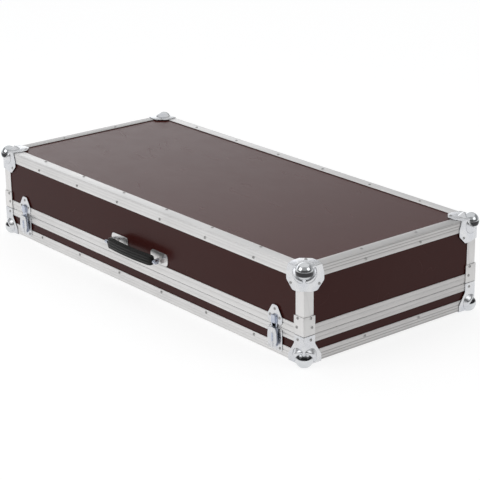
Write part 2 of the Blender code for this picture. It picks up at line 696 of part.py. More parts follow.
def handle_grip():
    """A bowed bar with rounded edges and a bore for the core."""
    half = GRIP_LENGTH / 2
    outer = [(half * (1 - 2 * i / GRIP_POINTS), 0) for i in range(GRIP_POINTS + 1)]
    outer = [(x, GRIP_DEPTH / 2 + GRIP_BOW * (1 - (x / half) ** 2)) for x, _ in outer]
    inner = [(x, y - GRIP_DEPTH) for x, y in reversed(outer)]
    points = [(x, -HANDLE_ARM - y) for x, y in outer + inner]
    grip = slab(points, GRIP_HEIGHT)
    edges = grip.modifiers.new("soft_edges", "BEVEL")
    edges.width = GRIP_ROUND
    edges.segments = 4
    edges.limit_method = "ANGLE"
    edges.angle_limit = math.radians(60)
    bpy.context.view_layer.update()
    return cut(grip, rod(CORE_RADIUS + FIT_GAP, 2 * GRIP_LENGTH, (0, -HANDLE_ARM, 0), "X"))


def handle_bracket(way):
    """A plate on the lid's panel with two lugs and the pin that the core's eye turns on."""
    plate_back = PANEL_FACE - FIT_GAP + HANDLE_STANDOFF
    outer_end = PIVOT_X + BRACKET_OUTER_MARGIN
    middle_x = way * (outer_end - BRACKET_LENGTH / 2)
    points = plate_points(BRACKET_LENGTH / 2, -BRACKET_HEIGHT / 2, BRACKET_HEIGHT / 2, BRACKET_ROUND)
    plate = slab(points, BRACKET_WALL, centre=(middle_x, plate_back - BRACKET_WALL / 2, 0), turn=(90, 0, 0))
    solids = [plate]
    lug_offset = CORE_EYE_WIDTH / 2 + FIT_GAP + LUG_WALL / 2
    lug_half = LUG_HEIGHT / 2
    lug_root = plate_back - BRACKET_WALL / 2
    lug_points = [(-lug_half, -lug_half), (lug_root, -lug_half), (lug_root, lug_half), (-lug_half, lug_half)]
    lug_round = lug_half * CORE_ROUND_SHARE
    lug_points = rounded(lug_points, [lug_round, 0, 0, lug_round])
    for step in (-1, 1):
        x = way * PIVOT_X + step * lug_offset
        solids.append(slab(lug_points, LUG_WALL, centre=(x, 0, 0), turn=(90, 0, 90)))
    solids.append(rod(HANDLE_PIN_RADIUS, 2 * lug_offset, (way * PIVOT_X, 0, 0), "X"))
    return joined(*solids)


def make_handle():
    for side, way in (("left", -1), ("right", 1)):
        piece(f"handle_bracket_{side}", handle_bracket(way), "zinc_plate", lid_pivot, handle_place)
    piece("handle_core", handle_core(), "steel_pin", handle_pivot, handle_place)
    piece("handle_grip", handle_grip(), "grip_plastic", handle_pivot, handle_place)


# Assembly

floor_top = PANEL_FACE + PANEL_THICKNESS
lid_top_underside = CASE_HEIGHT - PANEL_FACE - PANEL_THICKNESS

make_flat_panel("base_floor_panel", origin, PANEL_FACE)
make_walls("base", origin, floor_top + FIT_GAP, BASE_TOP - EDGING_WALL - FIT_GAP)
make_edging("base", origin, 0, True)
make_rims("base", origin, BASE_TOP, base_rim_outline())
make_base_corners(origin)
make_foam("base_foam", origin, floor_top + FIT_GAP, BASE_TOP - RIM_INNER_LEG - FIT_GAP, True)

make_flat_panel("lid_top_panel", lid_pivot, lid_top_underside)
make_walls("lid", lid_pivot, LID_BOTTOM + RIM_CHANNEL_FLOOR + FIT_GAP, lid_top_underside - FIT_GAP)
make_edging("lid", lid_pivot, CASE_HEIGHT, False)
make_rims("lid", lid_pivot, LID_BOTTOM, lid_rim_outline())
make_posts(lid_pivot)
make_lid_corners(lid_pivot)
make_foam("lid_foam", lid_pivot, LID_BOTTOM + RIM_CHANNEL_FLOOR + RIM_INNER_LEG + FIT_GAP,
          lid_top_underside - FIT_GAP, False)

make_latches()
make_hinges()
make_handle()
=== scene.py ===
# %% [markdown]
# A keyboard case is a shallow tray and a deep lid of thin plywood. Aluminium angles cover every edge,
# pressed steel fittings with a ball cover every corner, and rivets hold it all together. This lesson
# dresses a finished construction model with the looks of the real thing. First the model is loaded.
# Its pieces, called nodes, already stand at their real place and size, in metres.

# %% Load the construction model
import json
import math

import bmesh
import bpy
from mathutils import Matrix, Vector

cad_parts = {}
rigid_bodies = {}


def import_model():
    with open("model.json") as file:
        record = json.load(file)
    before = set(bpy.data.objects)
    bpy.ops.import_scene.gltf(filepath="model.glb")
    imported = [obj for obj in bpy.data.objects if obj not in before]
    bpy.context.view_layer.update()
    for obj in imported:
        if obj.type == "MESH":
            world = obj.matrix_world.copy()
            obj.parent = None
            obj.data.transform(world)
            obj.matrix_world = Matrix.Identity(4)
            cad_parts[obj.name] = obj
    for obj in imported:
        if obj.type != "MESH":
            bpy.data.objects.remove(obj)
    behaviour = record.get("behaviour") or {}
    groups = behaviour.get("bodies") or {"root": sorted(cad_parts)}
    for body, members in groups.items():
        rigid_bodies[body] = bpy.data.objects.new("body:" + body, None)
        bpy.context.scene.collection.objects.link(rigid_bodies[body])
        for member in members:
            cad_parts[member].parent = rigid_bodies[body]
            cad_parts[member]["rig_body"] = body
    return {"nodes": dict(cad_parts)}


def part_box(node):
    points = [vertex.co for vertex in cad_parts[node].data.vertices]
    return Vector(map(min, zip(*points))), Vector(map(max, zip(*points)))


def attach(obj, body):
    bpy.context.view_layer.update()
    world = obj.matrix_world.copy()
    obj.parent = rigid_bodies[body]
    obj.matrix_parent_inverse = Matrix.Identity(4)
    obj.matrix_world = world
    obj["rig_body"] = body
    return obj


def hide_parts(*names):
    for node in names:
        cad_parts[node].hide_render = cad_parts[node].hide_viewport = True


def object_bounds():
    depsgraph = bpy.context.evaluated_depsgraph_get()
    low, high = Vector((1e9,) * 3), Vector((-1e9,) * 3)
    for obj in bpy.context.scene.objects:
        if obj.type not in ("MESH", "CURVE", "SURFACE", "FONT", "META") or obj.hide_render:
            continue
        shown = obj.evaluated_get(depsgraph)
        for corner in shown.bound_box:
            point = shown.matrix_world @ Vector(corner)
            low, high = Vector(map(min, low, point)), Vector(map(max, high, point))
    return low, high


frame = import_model()
cad_low, cad_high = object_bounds()
print("nodes:", len(frame["nodes"]), "size in metres:", [round(s, 4) for s in cad_high - cad_low])

# %% [markdown]
# Every later step needs the main faces of the case, so they are measured once from the nodes. The
# corner fittings stand a little proud of these faces, and the front faces towards -Y.

# %% Measure the main faces
front_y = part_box("lid_edge_front")[0].y
back_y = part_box("lid_edge_back")[1].y
left_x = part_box("lid_edge_left")[0].x
right_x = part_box("lid_edge_right")[1].x
top_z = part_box("lid_edge_front")[1].z
bottom_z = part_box("base_edge_front")[0].z
parting_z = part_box("lid_rim_front")[0].z
middle_x = (left_x + right_x) / 2
middle_y = (front_y + back_y) / 2
print("over the edging:", round(right_x - left_x, 4), round(back_y - front_y, 4),
      round(top_z - bottom_z, 4))

# %% [markdown]
# Shader groups come next. An effect that several finishes share is built once as a node group, and
# each material places it with its own values. The first helper makes an empty group with named
# sockets, and three more add a node, a ramp or a sum, so that the groups below stay short.

# %% Helpers for shader groups
def start_group(name, inputs, outputs):
    """A new group; inputs are (name, socket type, start value), outputs are (name, socket type)."""
    group = bpy.data.node_groups.new(name, "ShaderNodeTree")
    for label, kind, value in inputs:
        socket = group.interface.new_socket(label, in_out="INPUT", socket_type=kind)
        if value is not None:
            socket.default_value = value
    for label, kind in outputs:
        group.interface.new_socket(label, in_out="OUTPUT", socket_type=kind)
    return group, group.nodes.new("NodeGroupInput"), group.nodes.new("NodeGroupOutput")


def add_node(tree, kind, links=(), **settings):
    """Adds a node; links are (input name or number, output socket or value)."""
    node = tree.nodes.new(kind)
    for setting, value in settings.items():
        setattr(node, setting, value)
    for key, source in links:
        if isinstance(source, bpy.types.NodeSocket):
            tree.links.new(source, node.inputs[key])
        else:
            node.inputs[key].default_value = source
    return node


def ramp(tree, value, start, end, low=0.0, high=1.0):
    """Goes from low to high while the value goes from start to end."""
    node = add_node(tree, "ShaderNodeMapRange", [("Value", value), ("From Min", start), ("From Max", end),
                                                 ("To Min", low), ("To Max", high)])
    return node.outputs["Result"]


def calculate(tree, operation, *values):
    """One Math node with these values or sockets."""
    return add_node(tree, "ShaderNodeMath", enumerate(values), operation=operation).outputs[0]


# %% [markdown]
# Metal and film are never perfectly even. Handling leaves soft cloudy patches, which show as small
# changes of gloss. Two layers of noise, one broad and one fine, give that cloudiness.

# %% Group: cloudy patches
CLOUD_SPREAD = (0.32, 0.68)


def make_clouds():
    group, source, result = start_group(
        "cloudy_patches",
        [("Vector", "NodeSocketVector", None), ("Scale", "NodeSocketFloat", 10.0),
         ("Low", "NodeSocketFloat", 0.0), ("High", "NodeSocketFloat", 1.0)],
        [("Value", "NodeSocketFloat")])
    noise = add_node(group, "ShaderNodeTexNoise", [("Vector", source.outputs["Vector"]),
                                                   ("Scale", source.outputs["Scale"]),
                                                   ("Detail", 5.0), ("Roughness", 0.62)])
    spread = ramp(group, noise.outputs["Fac"], *CLOUD_SPREAD,
                  source.outputs["Low"], source.outputs["High"])
    group.links.new(spread, result.inputs["Value"])
    return group


clouds_group = make_clouds()
print("made", clouds_group.name)

# %% [markdown]
# An extrusion leaves the die with fine lines along its length, and a rolled sheet has them too. The
# group stretches a noise along one direction, which the material picks by the scale it passes in.

# %% Group: drawn lines
LINE_SPREAD = (0.3, 0.7)


def make_drawn_lines():
    group, source, result = start_group(
        "drawn_lines",
        [("Vector", "NodeSocketVector", None), ("Scale", "NodeSocketVector", (1.0, 1.0, 1.0)),
         ("Low", "NodeSocketFloat", 0.0), ("High", "NodeSocketFloat", 1.0)],
        [("Value", "NodeSocketFloat")])
    stretched = add_node(group, "ShaderNodeVectorMath",
                         [(0, source.outputs["Vector"]), (1, source.outputs["Scale"])],
                         operation="MULTIPLY")
    noise = add_node(group, "ShaderNodeTexNoise", [("Vector", stretched.outputs["Vector"]),
                                                   ("Scale", 1.0), ("Detail", 3.0), ("Roughness", 0.7)])
    spread = ramp(group, noise.outputs["Fac"], *LINE_SPREAD,
                  source.outputs["Low"], source.outputs["High"])
    group.links.new(spread, result.inputs["Value"])
    return group


lines_group = make_drawn_lines()
print("made", lines_group.name)

# %% [markdown]
# A case that has been carried a few times shows short hairline scratches. A noise is stretched, its
# middle value is picked out as a thin line, and a second noise keeps only some of those lines.

# %% Group: hairline scratches
SCRATCH_ANGLE = math.radians(27)
SCRATCH_AXIS = (0.4, 0.5, 0.77)
SCRATCH_STRETCH = (0.12, 1.0, 1.0)
SCRATCH_WIDTH = 0.006
SCRATCH_PLACES = (0.52, 0.66)


def make_scratches():
    group, source, result = start_group(
        "hairline_scratches",
        [("Vector", "NodeSocketVector", None), ("Scale", "NodeSocketFloat", 20.0),
         ("Amount", "NodeSocketFloat", 0.5)],
        [("Mask", "NodeSocketFloat")])
    turned = add_node(group, "ShaderNodeVectorRotate",
                      [("Vector", source.outputs["Vector"]), ("Angle", SCRATCH_ANGLE)],
                      rotation_type="AXIS_ANGLE")
    turned.inputs["Axis"].default_value = SCRATCH_AXIS
    long_way = add_node(group, "ShaderNodeVectorMath",
                        [(0, turned.outputs["Vector"]), (1, SCRATCH_STRETCH)], operation="MULTIPLY")
    lines = add_node(group, "ShaderNodeTexNoise", [("Vector", long_way.outputs["Vector"]),
                                                   ("Scale", source.outputs["Scale"]),
                                                   ("Detail", 1.0), ("Distortion", 0.6)])
    distance = calculate(group, "SUBTRACT", lines.outputs["Fac"], 0.5)
    distance = calculate(group, "ABSOLUTE", distance)
    thin = ramp(group, distance, 0.0, SCRATCH_WIDTH, 1.0, 0.0)
    places = add_node(group, "ShaderNodeTexNoise", [("Vector", source.outputs["Vector"]),
                                                    ("Scale", 14.0), ("Detail", 2.0)])
    kept = ramp(group, places.outputs["Fac"], *SCRATCH_PLACES)
    mask = calculate(group, "MULTIPLY", thin, kept)
    mask = calculate(group, "MULTIPLY", mask, source.outputs["Amount"])
    group.links.new(mask, result.inputs["Mask"])
    return group


scratches_group = make_scratches()
print("made", scratches_group.name)

# %% [markdown]
# Each material starts with a Principled shader. The helper sets what is the same all over the
# surface straight on the shader's sockets, and hands back the tree, the shader and the coordinates.

# %% A helper for materials
def start_material(name, **sockets):
    material = bpy.data.materials.new(name)
    material.use_nodes = True
    tree = material.node_tree
    shader = tree.nodes["Principled BSDF"]
    for label, value in sockets.items():
        shader.inputs[label.replace("_", " ")].default_value = value
    place = tree.nodes.new("ShaderNodeTexCoord").outputs["Object"]
    return material, tree, shader, place


def use_group(tree, group, links):
    return add_node(tree, "ShaderNodeGroup", links, node_tree=group)


def blend_colours(tree, factor, first, second):
    """A colour that goes from the first to the second as the factor goes from 0 to 1."""
    mix = add_node(tree, "ShaderNodeMix", data_type="RGBA")
    tree.links.new(factor, mix.inputs["Factor"])
    mix.inputs[6].default_value = (*first, 1)
    mix.inputs[7].default_value = (*second, 1)
    return mix.outputs[2]


# %% [markdown]
# The panels are birch plywood under a hard dark brown film. The film is smooth and fairly glossy, so
# what it shows is half its own colour and half the room. The grain below telegraphs through as a very
# faint ripple along the panel, which a stretched noise in a Bump node gives.

# %% Finish: film-faced plywood
FILM = (0.064, 0.0122, 0.0102)
FILM_WORN = (0.072, 0.0172, 0.0147)


def make_film():
    material, tree, shader, place = start_material("film_faced_plywood", IOR=1.22)
    clouds = use_group(tree, clouds_group, [("Vector", place), ("Scale", 3.5)])
    shade = blend_colours(tree, clouds.outputs["Value"], FILM, FILM_WORN)
    tree.links.new(shade, shader.inputs["Base Color"])
    gloss = use_group(tree, clouds_group, [("Vector", place), ("Scale", 26.0),
                                           ("Low", 0.21), ("High", 0.27)])
    scratches = use_group(tree, scratches_group, [("Vector", place), ("Scale", 16.0), ("Amount", 0.08)])
    rough = calculate(tree, "ADD", gloss.outputs["Value"], scratches.outputs["Mask"])
    tree.links.new(rough, shader.inputs["Roughness"])
    ripple = use_group(tree, lines_group, [("Vector", place), ("Scale", (9.0, 130.0, 130.0))])
    bump = add_node(tree, "ShaderNodeBump", [("Height", ripple.outputs["Value"]), ("Strength", 0.05),
                                             ("Distance", 0.001)])
    tree.links.new(bump.outputs["Normal"], shader.inputs["Normal"])
    return material


film = make_film()
print("made", film.name)

# %% [markdown]
# The edging is extruded aluminium, satin and unpainted. Its die lines run along each bar, so there is
# one material for each direction, with its own scale for the lines. The ends of the case take less light
# than the front, and a painted shade stands for that: the bars along Y and one flank of the uprights are
# a little darker. The flutes get a painted shade too, which the mesh marks in an attribute named "shade".

# %% Finish: extruded aluminium
# The colours for bars along y and for the end flank of the uprights are darker: a painted shade for the
# ends.
ALUMINIUM = {"x": (0.77, 0.762, 0.758), "y": (0.56, 0.55, 0.545), "z": (0.81, 0.80, 0.795),
             "z_end_shaded": (0.69, 0.685, 0.68)}
# The colour of the painted shade in the flutes.
ALUMINIUM_PAINTED_SHADE = (0.16, 0.155, 0.15)
CLOUDED = 0.92
ALONG = {"x": (6.0, 900.0, 900.0), "y": (900.0, 6.0, 900.0), "z": (900.0, 900.0, 6.0),
         "z_end_shaded": (900.0, 900.0, 6.0)}


def darken(tree, colour, dark_colour):
    """Paints shade: goes over to the dark colour where the attribute "shade" of the mesh says so."""
    shade = add_node(tree, "ShaderNodeAttribute", attribute_name="shade")
    mix = add_node(tree, "ShaderNodeMix", data_type="RGBA")
    tree.links.new(shade.outputs["Fac"], mix.inputs["Factor"])
    tree.links.new(colour, mix.inputs[6])
    mix.inputs[7].default_value = (*dark_colour, 1)
    return mix.outputs[2]


def make_aluminium(direction):
    material, tree, shader, place = start_material(f"aluminium_along_{direction}", Metallic=1.0)
    clouds = use_group(tree, clouds_group, [("Vector", place), ("Scale", 9.0)])
    pale = ALUMINIUM[direction]
    shade = blend_colours(tree, clouds.outputs["Value"], [level * CLOUDED for level in pale], pale)
    tree.links.new(darken(tree, shade, ALUMINIUM_PAINTED_SHADE), shader.inputs["Base Color"])
    lines = use_group(tree, lines_group, [("Vector", place), ("Scale", ALONG[direction]),
                                          ("Low", 0.38), ("High", 0.52)])
    scratches = use_group(tree, scratches_group, [("Vector", place), ("Scale", 40.0),
                                                  ("Amount", -0.12)])
    rough = calculate(tree, "ADD", lines.outputs["Value"], scratches.outputs["Mask"])
    tree.links.new(rough, shader.inputs["Roughness"])
    bump = add_node(tree, "ShaderNodeBump", [("Height", lines.outputs["Value"]), ("Strength", 0.12),
                                             ("Distance", 0.0005)])
    tree.links.new(bump.outputs["Normal"], shader.inputs["Normal"])
    return material


aluminium = {direction: make_aluminium(direction) for direction in ALONG}
print("made", [material.name for material in aluminium.values()])

# %% [markdown]
# Corners, latches and brackets are pressed steel with bright zinc. It is shinier than the aluminium
# and has a faint blue cast that drifts over the surface, so the colour is blended by soft clouds. The
# corners also get a painted shade and a painted reflection where their mesh says so, through an
# attribute with the name "shade".

# %% Finish: bright zinc
ZINC = (0.72, 0.723, 0.73)
ZINC_BLUE = (0.61, 0.625, 0.66)
# The colour of the painted shade and the painted reflection on the corner fittings.
ZINC_PAINTED_SHADE = (0.045, 0.045, 0.047)


def make_zinc(name, low, high, pale=ZINC, deep=ZINC_BLUE, shaded=False):
    """Plated or bare steel; low and high are the limits of its roughness."""
    material, tree, shader, place = start_material(name, Metallic=1.0)
    clouds = use_group(tree, clouds_group, [("Vector", place), ("Scale", 45.0)])
    shade = blend_colours(tree, clouds.outputs["Value"], deep, pale)
    if shaded:
        shade = darken(tree, shade, ZINC_PAINTED_SHADE)
    tree.links.new(shade, shader.inputs["Base Color"])
    gloss = use_group(tree, clouds_group, [("Vector", place), ("Scale", 120.0),
                                           ("Low", low), ("High", high)])
    scratches = use_group(tree, scratches_group, [("Vector", place), ("Scale", 90.0), ("Amount", 0.2)])
    rough = calculate(tree, "ADD", gloss.outputs["Value"], scratches.outputs["Mask"])
    tree.links.new(rough, shader.inputs["Roughness"])
    return material


zinc = make_zinc("bright_zinc", 0.20, 0.32)
corner_zinc = make_zinc("corner_zinc", 0.20, 0.32, shaded=True)
ball_zinc = make_zinc("polished_zinc", 0.07, 0.14, (0.72, 0.73, 0.74), (0.62, 0.64, 0.66), shaded=True)
steel = make_zinc("bright_steel", 0.16, 0.28, (0.60, 0.63, 0.70), (0.42, 0.46, 0.56))
bracket_zinc = make_zinc("satin_zinc", 0.30, 0.42, (0.80, 0.79, 0.785), (0.68, 0.675, 0.68))
rivet_metal = make_zinc("rivet_steel", 0.30, 0.45, (0.46, 0.455, 0.45), (0.34, 0.335, 0.33))
print("made", zinc.name, corner_zinc.name, ball_zinc.name, steel.name, bracket_zinc.name,
      rivet_metal.name)

# %% [markdown]
# The grip is moulded black plastic with a fine leathery grain. The foam that lines the case is a
# dark closed-cell foam, whose cut cells make a grainy, quite matt surface.

# %% Finishes: grip and foam
def make_grip_plastic():
    material, tree, shader, place = start_material("black_grip_plastic", Specular_IOR_Level=0.22)
    clouds = use_group(tree, clouds_group, [("Vector", place), ("Scale", 60.0)])
    shade = blend_colours(tree, clouds.outputs["Value"], (0.0075, 0.0075, 0.007), (0.014, 0.014, 0.013))
    tree.links.new(shade, shader.inputs["Base Color"])
    gloss = use_group(tree, clouds_group, [("Vector", place), ("Scale", 300.0),
                                           ("Low", 0.34), ("High", 0.5)])
    tree.links.new(gloss.outputs["Value"], shader.inputs["Roughness"])
    grain = add_node(tree, "ShaderNodeTexVoronoi", [("Vector", place), ("Scale", 900.0)])
    bump = add_node(tree, "ShaderNodeBump", [("Height", grain.outputs["Distance"]), ("Strength", 0.25),
                                             ("Distance", 0.0003)])
    tree.links.new(bump.outputs["Normal"], shader.inputs["Normal"])
    return material


def make_foam():
    material, tree, shader, place = start_material("dark_foam", Specular_IOR_Level=0.2)
    cells = add_node(tree, "ShaderNodeTexVoronoi", [("Vector", place), ("Scale", 700.0)])
    shade = blend_colours(tree, cells.outputs["Distance"], (0.016, 0.016, 0.018), (0.048, 0.048, 0.052))
    tree.links.new(shade, shader.inputs["Base Color"])
    soft = use_group(tree, clouds_group, [("Vector", place), ("Scale", 8.0),
                                          ("Low", 0.86), ("High", 1.0)])
    tree.links.new(soft.outputs["Value"], shader.inputs["Roughness"])
    bump = add_node(tree, "ShaderNodeBump", [("Height", cells.outputs["Distance"]), ("Strength", 0.5),
                                             ("Distance", 0.0008)])
    tree.links.new(bump.outputs["Normal"], shader.inputs["Normal"])
    return material


grip_plastic = make_grip_plastic()
foam = make_foam()
print("made", grip_plastic.name, foam.name)

# %% [markdown]
# The panels and the hinges already have the right shape, so they only get their finish. It goes on
# the material slot of the node itself.

# %% Dress the nodes that stay
for name, node in frame["nodes"].items():
    if name.endswith("_panel"):
        node.material_slots[0].material = film
    elif name.startswith("hinge"):
        node.material_slots[0].material = zinc
print("panels:", sum(name.endswith("_panel") for name in frame["nodes"]))

# %% [markdown]
# New pieces are made as a bmesh and then finished in one way: normals outwards, the mesh smooth apart
# from its sharp edges, the finish on it, and the piece riding on the body that carries it.

# %% A helper that finishes a piece
made = {}


def finish_piece(bm, name, body, finishes, replaces=None, sharp=35):
    bmesh.ops.recalc_face_normals(bm, faces=bm.faces)
    mesh = bpy.data.meshes.new(name)
    bm.to_mesh(mesh)
    bm.free()
    for material in finishes:
        mesh.materials.append(material)
    mesh.shade_smooth()
    mesh.set_sharp_from_angle(angle=math.radians(sharp))
    obj = bpy.data.objects.new(name, mesh)
    bpy.context.scene.collection.objects.link(obj)
    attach(obj, body)
    if replaces:
        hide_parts(replaces)
    made[name] = obj
    return obj


# %% [markdown]
# Some pieces need only finer detail on the shape that the construction model has. Such a piece starts
# as a merged copy of its node, whose loose triangles are joined and dissolved into whole flat faces.

# %% Helpers for a finer copy of a node
SAME_PLACE = 0.00001


def merged_copy(node):
    bm = bmesh.new()
    bm.from_mesh(frame["nodes"][node].data)
    bmesh.ops.remove_doubles(bm, verts=bm.verts, dist=SAME_PLACE)
    bmesh.ops.dissolve_limit(bm, angle_limit=math.radians(1), verts=bm.verts, edges=bm.edges)
    return bm


def soften(bm, width, segments=2, sharper_than=50):
    """Rounds the edges that are sharper than the given angle."""
    edges = [edge for edge in bm.edges
             if len(edge.link_faces) == 2 and edge.calc_face_angle() > math.radians(sharper_than)]
    bmesh.ops.bevel(bm, geom=edges, offset=width, segments=segments, profile=0.5, affect="EDGES",
                    clamp_overlap=True, material=-1)


# %% [markdown]
# The edging has three shallow flutes along its side face. They are cut as a fitter would mark them:
# bisect_plane scores three lines for each flute, and the middle line is pushed into the metal.

# %% Flute the edging
FLUTE_DEPTHS = (0.0028, 0.0082, 0.0136)
FLUTE_WIDTH = 0.0020
FLUTE_SINK = 0.00045
# Painted shade in each flute, much stronger on the bars along Y, which take the light from the side.
FLUTE_PAINTED_SHADE = {"x": 0.15, "y": 0.70}
EDGING_ROUND = 0.0006
SIDES = {"front": Vector((0, -1, 0)), "back": Vector((0, 1, 0)),
         "left": Vector((-1, 0, 0)), "right": Vector((1, 0, 0))}


def cut_flute(bm, height, outward, face, shade):
    layer = bm.verts.layers.float.get("shade") or bm.verts.layers.float.new("shade")
    for step in (-1, 0, 1):
        level = height + step * FLUTE_WIDTH / 2
        bmesh.ops.bisect_plane(bm, geom=[*bm.verts, *bm.edges, *bm.faces], plane_co=(0, 0, level),
                               plane_no=(0, 0, 1))
    groove = [vert for vert in bm.verts
              if abs(vert.co.z - height) < SAME_PLACE and abs(vert.co.dot(outward) - face) < SAME_PLACE]
    bmesh.ops.translate(bm, verts=groove, vec=-outward * FLUTE_SINK)
    # The middle line of the groove gets a painted shade.
    for vert in groove:
        vert[layer] = shade


def outer_face(side):
    return {"front": -front_y, "back": back_y, "left": -left_x, "right": right_x}[side]


for section, ridge, way in (("lid", top_z, -1), ("base", bottom_z, 1)):
    for side, outward in SIDES.items():
        node = f"{section}_edge_{side}"
        bm = merged_copy(node)
        soften(bm, EDGING_ROUND, segments=3)
        direction = "x" if side in ("front", "back") else "y"
        for depth in FLUTE_DEPTHS:
            cut_flute(bm, ridge + way * depth, outward, outer_face(side), FLUTE_PAINTED_SHADE[direction])
        finish_piece(bm, f"{section}_edging_{side}", section, [aluminium[direction]], node)
print("edging:", [name for name in made if "edging" in name])

# %% [markdown]
# Tray and lid close on two more extrusions, one with a tongue and one with a groove. Outside they show
# two flat bands with a fine joint between them, and each band has one flute near its middle.

# %% Flute the closing profiles
CLOSING_FLUTES = {"lid": parting_z + 0.0105, "base": parting_z - 0.0085}
# A light painted shade in the flute of each closing band.
CLOSING_PAINTED_SHADE = 0.15
CLOSING_ROUND = 0.00025

for section, flute_z in CLOSING_FLUTES.items():
    for side, outward in SIDES.items():
        node = f"{section}_rim_{side}"
        bm = merged_copy(node)
        soften(bm, CLOSING_ROUND)
        direction = "x" if side in ("front", "back") else "y"
        cut_flute(bm, flute_z, outward, outer_face(side), CLOSING_PAINTED_SHADE)
        finish_piece(bm, f"{section}_closing_{side}", section, [aluminium[direction]], node)
print("closing profiles:", [name for name in made if "closing" in name])

# %% [markdown]
# The upright angles and the plates riveted over their feet keep their shape too. They get softer edges
# and the finish whose lines run upwards. The flank that faces an end of the case gets a darker copy of
# it, a painted shade.

# %% Soften the uprights
UPRIGHT_ROUND = 0.0007
FACES_END = 0.7

for corner in ("front_left", "front_right", "back_left", "back_right"):
    node = f"lid_post_{corner}"
    bm = merged_copy(node)
    soften(bm, UPRIGHT_ROUND, segments=3)
    for face in bm.faces:
        # The flank that faces an end gets the darker copy, a painted shade.
        face.material_index = 1 if abs(face.normal.x) > FACES_END else 0
    finish_piece(bm, f"upright_{corner}", "lid", [aluminium["z"], aluminium["z_end_shaded"]],
                 node)
print("uprights:", [name for name in made if "upright" in name])

# %% [markdown]
# Round details come next: balls, collars, bosses and rivet heads. On the real case they are turned or
# pressed in a round die. Here a profile, drawn as distance from the axis and height along it, is spun
# once round its axis, and the seam and the pole are merged shut.

# %% Helpers that turn a profile
ON_PLANE = 0.000002


def turned_shape(bm, centre, axis, profile, steps):
    """Spins the profile about the axis and returns the new faces."""
    before = set(bm.faces)
    axis = Vector(axis).normalized()
    side = axis.orthogonal().normalized()
    verts = [bm.verts.new(centre + side * radius + axis * height) for radius, height in profile]
    edges = [bm.edges.new(pair) for pair in zip(verts, verts[1:])]
    bmesh.ops.spin(bm, geom=verts + edges, cent=centre, axis=axis, angle=math.tau, steps=steps,
                   use_merge=True)
    faces = [face for face in bm.faces if face not in before]
    near = {vert for face in faces for vert in face.verts} | {vert for vert in verts if vert.is_valid}
    bmesh.ops.remove_doubles(bm, verts=list(near), dist=ON_PLANE)
    bmesh.ops.recalc_face_normals(bm, faces=[face for face in bm.faces if face not in before])
    return [face for face in bm.faces if face not in before]


def arc(radius, start, end, steps, height=0.0):
    """Profile points on a circle; the angle is counted from the axis, in degrees."""
    angles = [math.radians(start + (end - start) * step / steps) for step in range(steps + 1)]
    return [(radius * math.sin(angle), height + radius * math.cos(angle)) for angle in angles]


# %% [markdown]
# A lid corner is pressed in one go from sheet steel: a ball on a round collar, with three ears that
# wrap the edges of the case. The flat ears come from the node. The ball and the collar are turned
# about the diagonal of the corner, and whatever would lie inside the case is cut off along its three
# faces. The ball is polished brighter than the ears. Two dark marks are painted on it through the
# attribute "shade": a painted shade in the crevice at the foot of the collar, and a painted
# reflection, a dark belt round the ball, which is probably the mirror image of an unlit room.

# %% Corner fittings
BALL_RADIUS = 0.016
BALL_INSET = 0.0075
COLLAR_RADIUS = 0.0211
COLLAR_INSET = 0.0155
FACE_GAP = 0.0003
COLLAR_PROFILE = [(0.0214, -0.0180), (0.0215, -0.0100), (0.0215, -0.0052), (0.0211, -0.0030),
                  (0.0202, -0.0014), (0.0190, -0.0005), (0.0175, -0.0001), (0.0164, 0.0002)]
ROUND_PROFILE = COLLAR_PROFILE + arc(BALL_RADIUS, 89, 0, 18)
ROUND_STEPS = 56
NODE_SLACK = 0.00008
BALL_SLACK = 0.00005
FACE_SLACK = 0.0001
FITTING_ROUND = 0.0006
CREVICE = 0.0010
CREVICE_PAINTED_SHADE = 0.80
# Painted reflection: the heights of the dark belt on each ball, in parts of its radius.
LID_PAINTED_BELT = (-0.44, 0.16)
BASE_PAINTED_BELT = (0.28, 0.64)
PAINTED_BELT_EDGE = 0.10
CORNERS = {"front_right": (1, -1), "back_right": (1, 1), "back_left": (-1, 1), "front_left": (-1, -1)}


def is_round_face(face, ball, collar):
    """True for a face of the node's ball or collar."""
    return all((vert.co - ball).length < BALL_RADIUS + NODE_SLACK
               or (vert.co - collar).length < COLLAR_RADIUS + NODE_SLACK for vert in face.verts)


def cut_round(bm, ears, corner, signs, height):
    """Scores the turned faces along three planes, at the given height above the faces of the case."""
    for axis in range(3):
        normal = Vector([signs[axis] if i == axis else 0 for i in range(3)])
        fresh = [face for face in bm.faces if face not in ears]
        geom = fresh + list({edge for face in fresh for edge in face.edges})
        geom += list({vert for face in fresh for vert in face.verts})
        bmesh.ops.bisect_plane(bm, geom=geom, plane_co=corner + normal * height, plane_no=normal)


def shade_corner(bm, ears, corner, signs, ball, belt):
    """Writes each vertex's painted darkness: the ball's reflection belt and the collar's crevice shade.
    """
    layer = bm.verts.layers.float.new("shade")
    for vert in {vert for face in bm.faces if face not in ears for vert in face.verts}:
        if (vert.co - ball).length < BALL_RADIUS + BALL_SLACK:
            # Painted reflection: the dark belt round the ball.
            level = (vert.co.z - ball.z) / BALL_RADIUS
            inner = min(level - belt[0], belt[1] - level)
            vert[layer] = min(max(inner / PAINTED_BELT_EDGE + 0.5, 0), 1)
        else:
            # Painted shade in the crevice where the collar meets the ears.
            height = max((vert.co[i] - corner[i]) * signs[i] for i in range(3))
            vert[layer] = CREVICE_PAINTED_SHADE if height < FACE_GAP + 1.5 * CREVICE else 0


